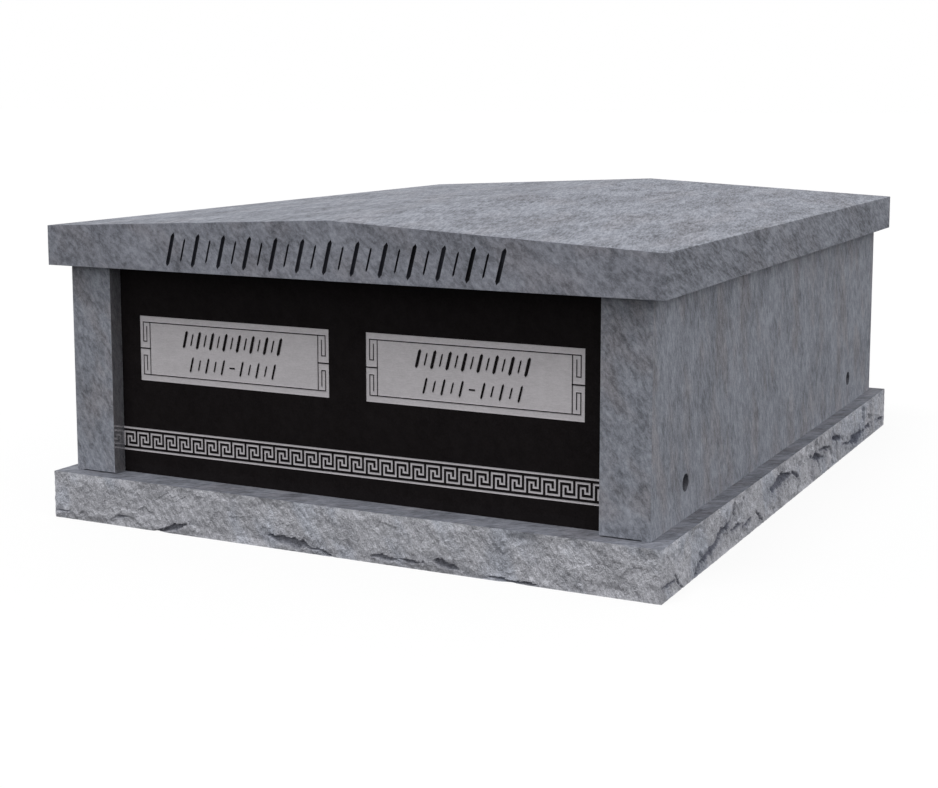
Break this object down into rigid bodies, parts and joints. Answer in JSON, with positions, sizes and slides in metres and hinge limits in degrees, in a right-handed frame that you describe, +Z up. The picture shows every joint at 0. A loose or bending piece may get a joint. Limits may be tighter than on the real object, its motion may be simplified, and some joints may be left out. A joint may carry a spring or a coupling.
{
  "type": "side-by-side crypt mausoleum",
  "caption": "Low granite mausoleum for side-by-side crypts: rock-pitched base, sawn walls with vents, recessed black front panel with a key band, and a gabled roof slab.",
  "frame": {"origin": "middle of the base slab's underside", "axes": "+Z up, +Y from the front panel to the back, +X to the right of someone facing the front panel"},
  "size_m": [2.092, 2.716, 1.003],
  "materials": {
    "rock_grey_granite": "sawn top, rock-pitched faces",
    "sawn_grey_granite": "fine sawn blue-grey granite",
    "polished_black_granite": "polished black granite with blasted grey plates and key band"
  },
  "bodies": {
    "root": {"base_slab": "rock_grey_granite", "left_wall": "sawn_grey_granite", "right_wall": "sawn_grey_granite", "back_wall": "sawn_grey_granite", "front_panel": "polished_black_granite", "roof_slab": "sawn_grey_granite"}
  },
  "joints": []
}
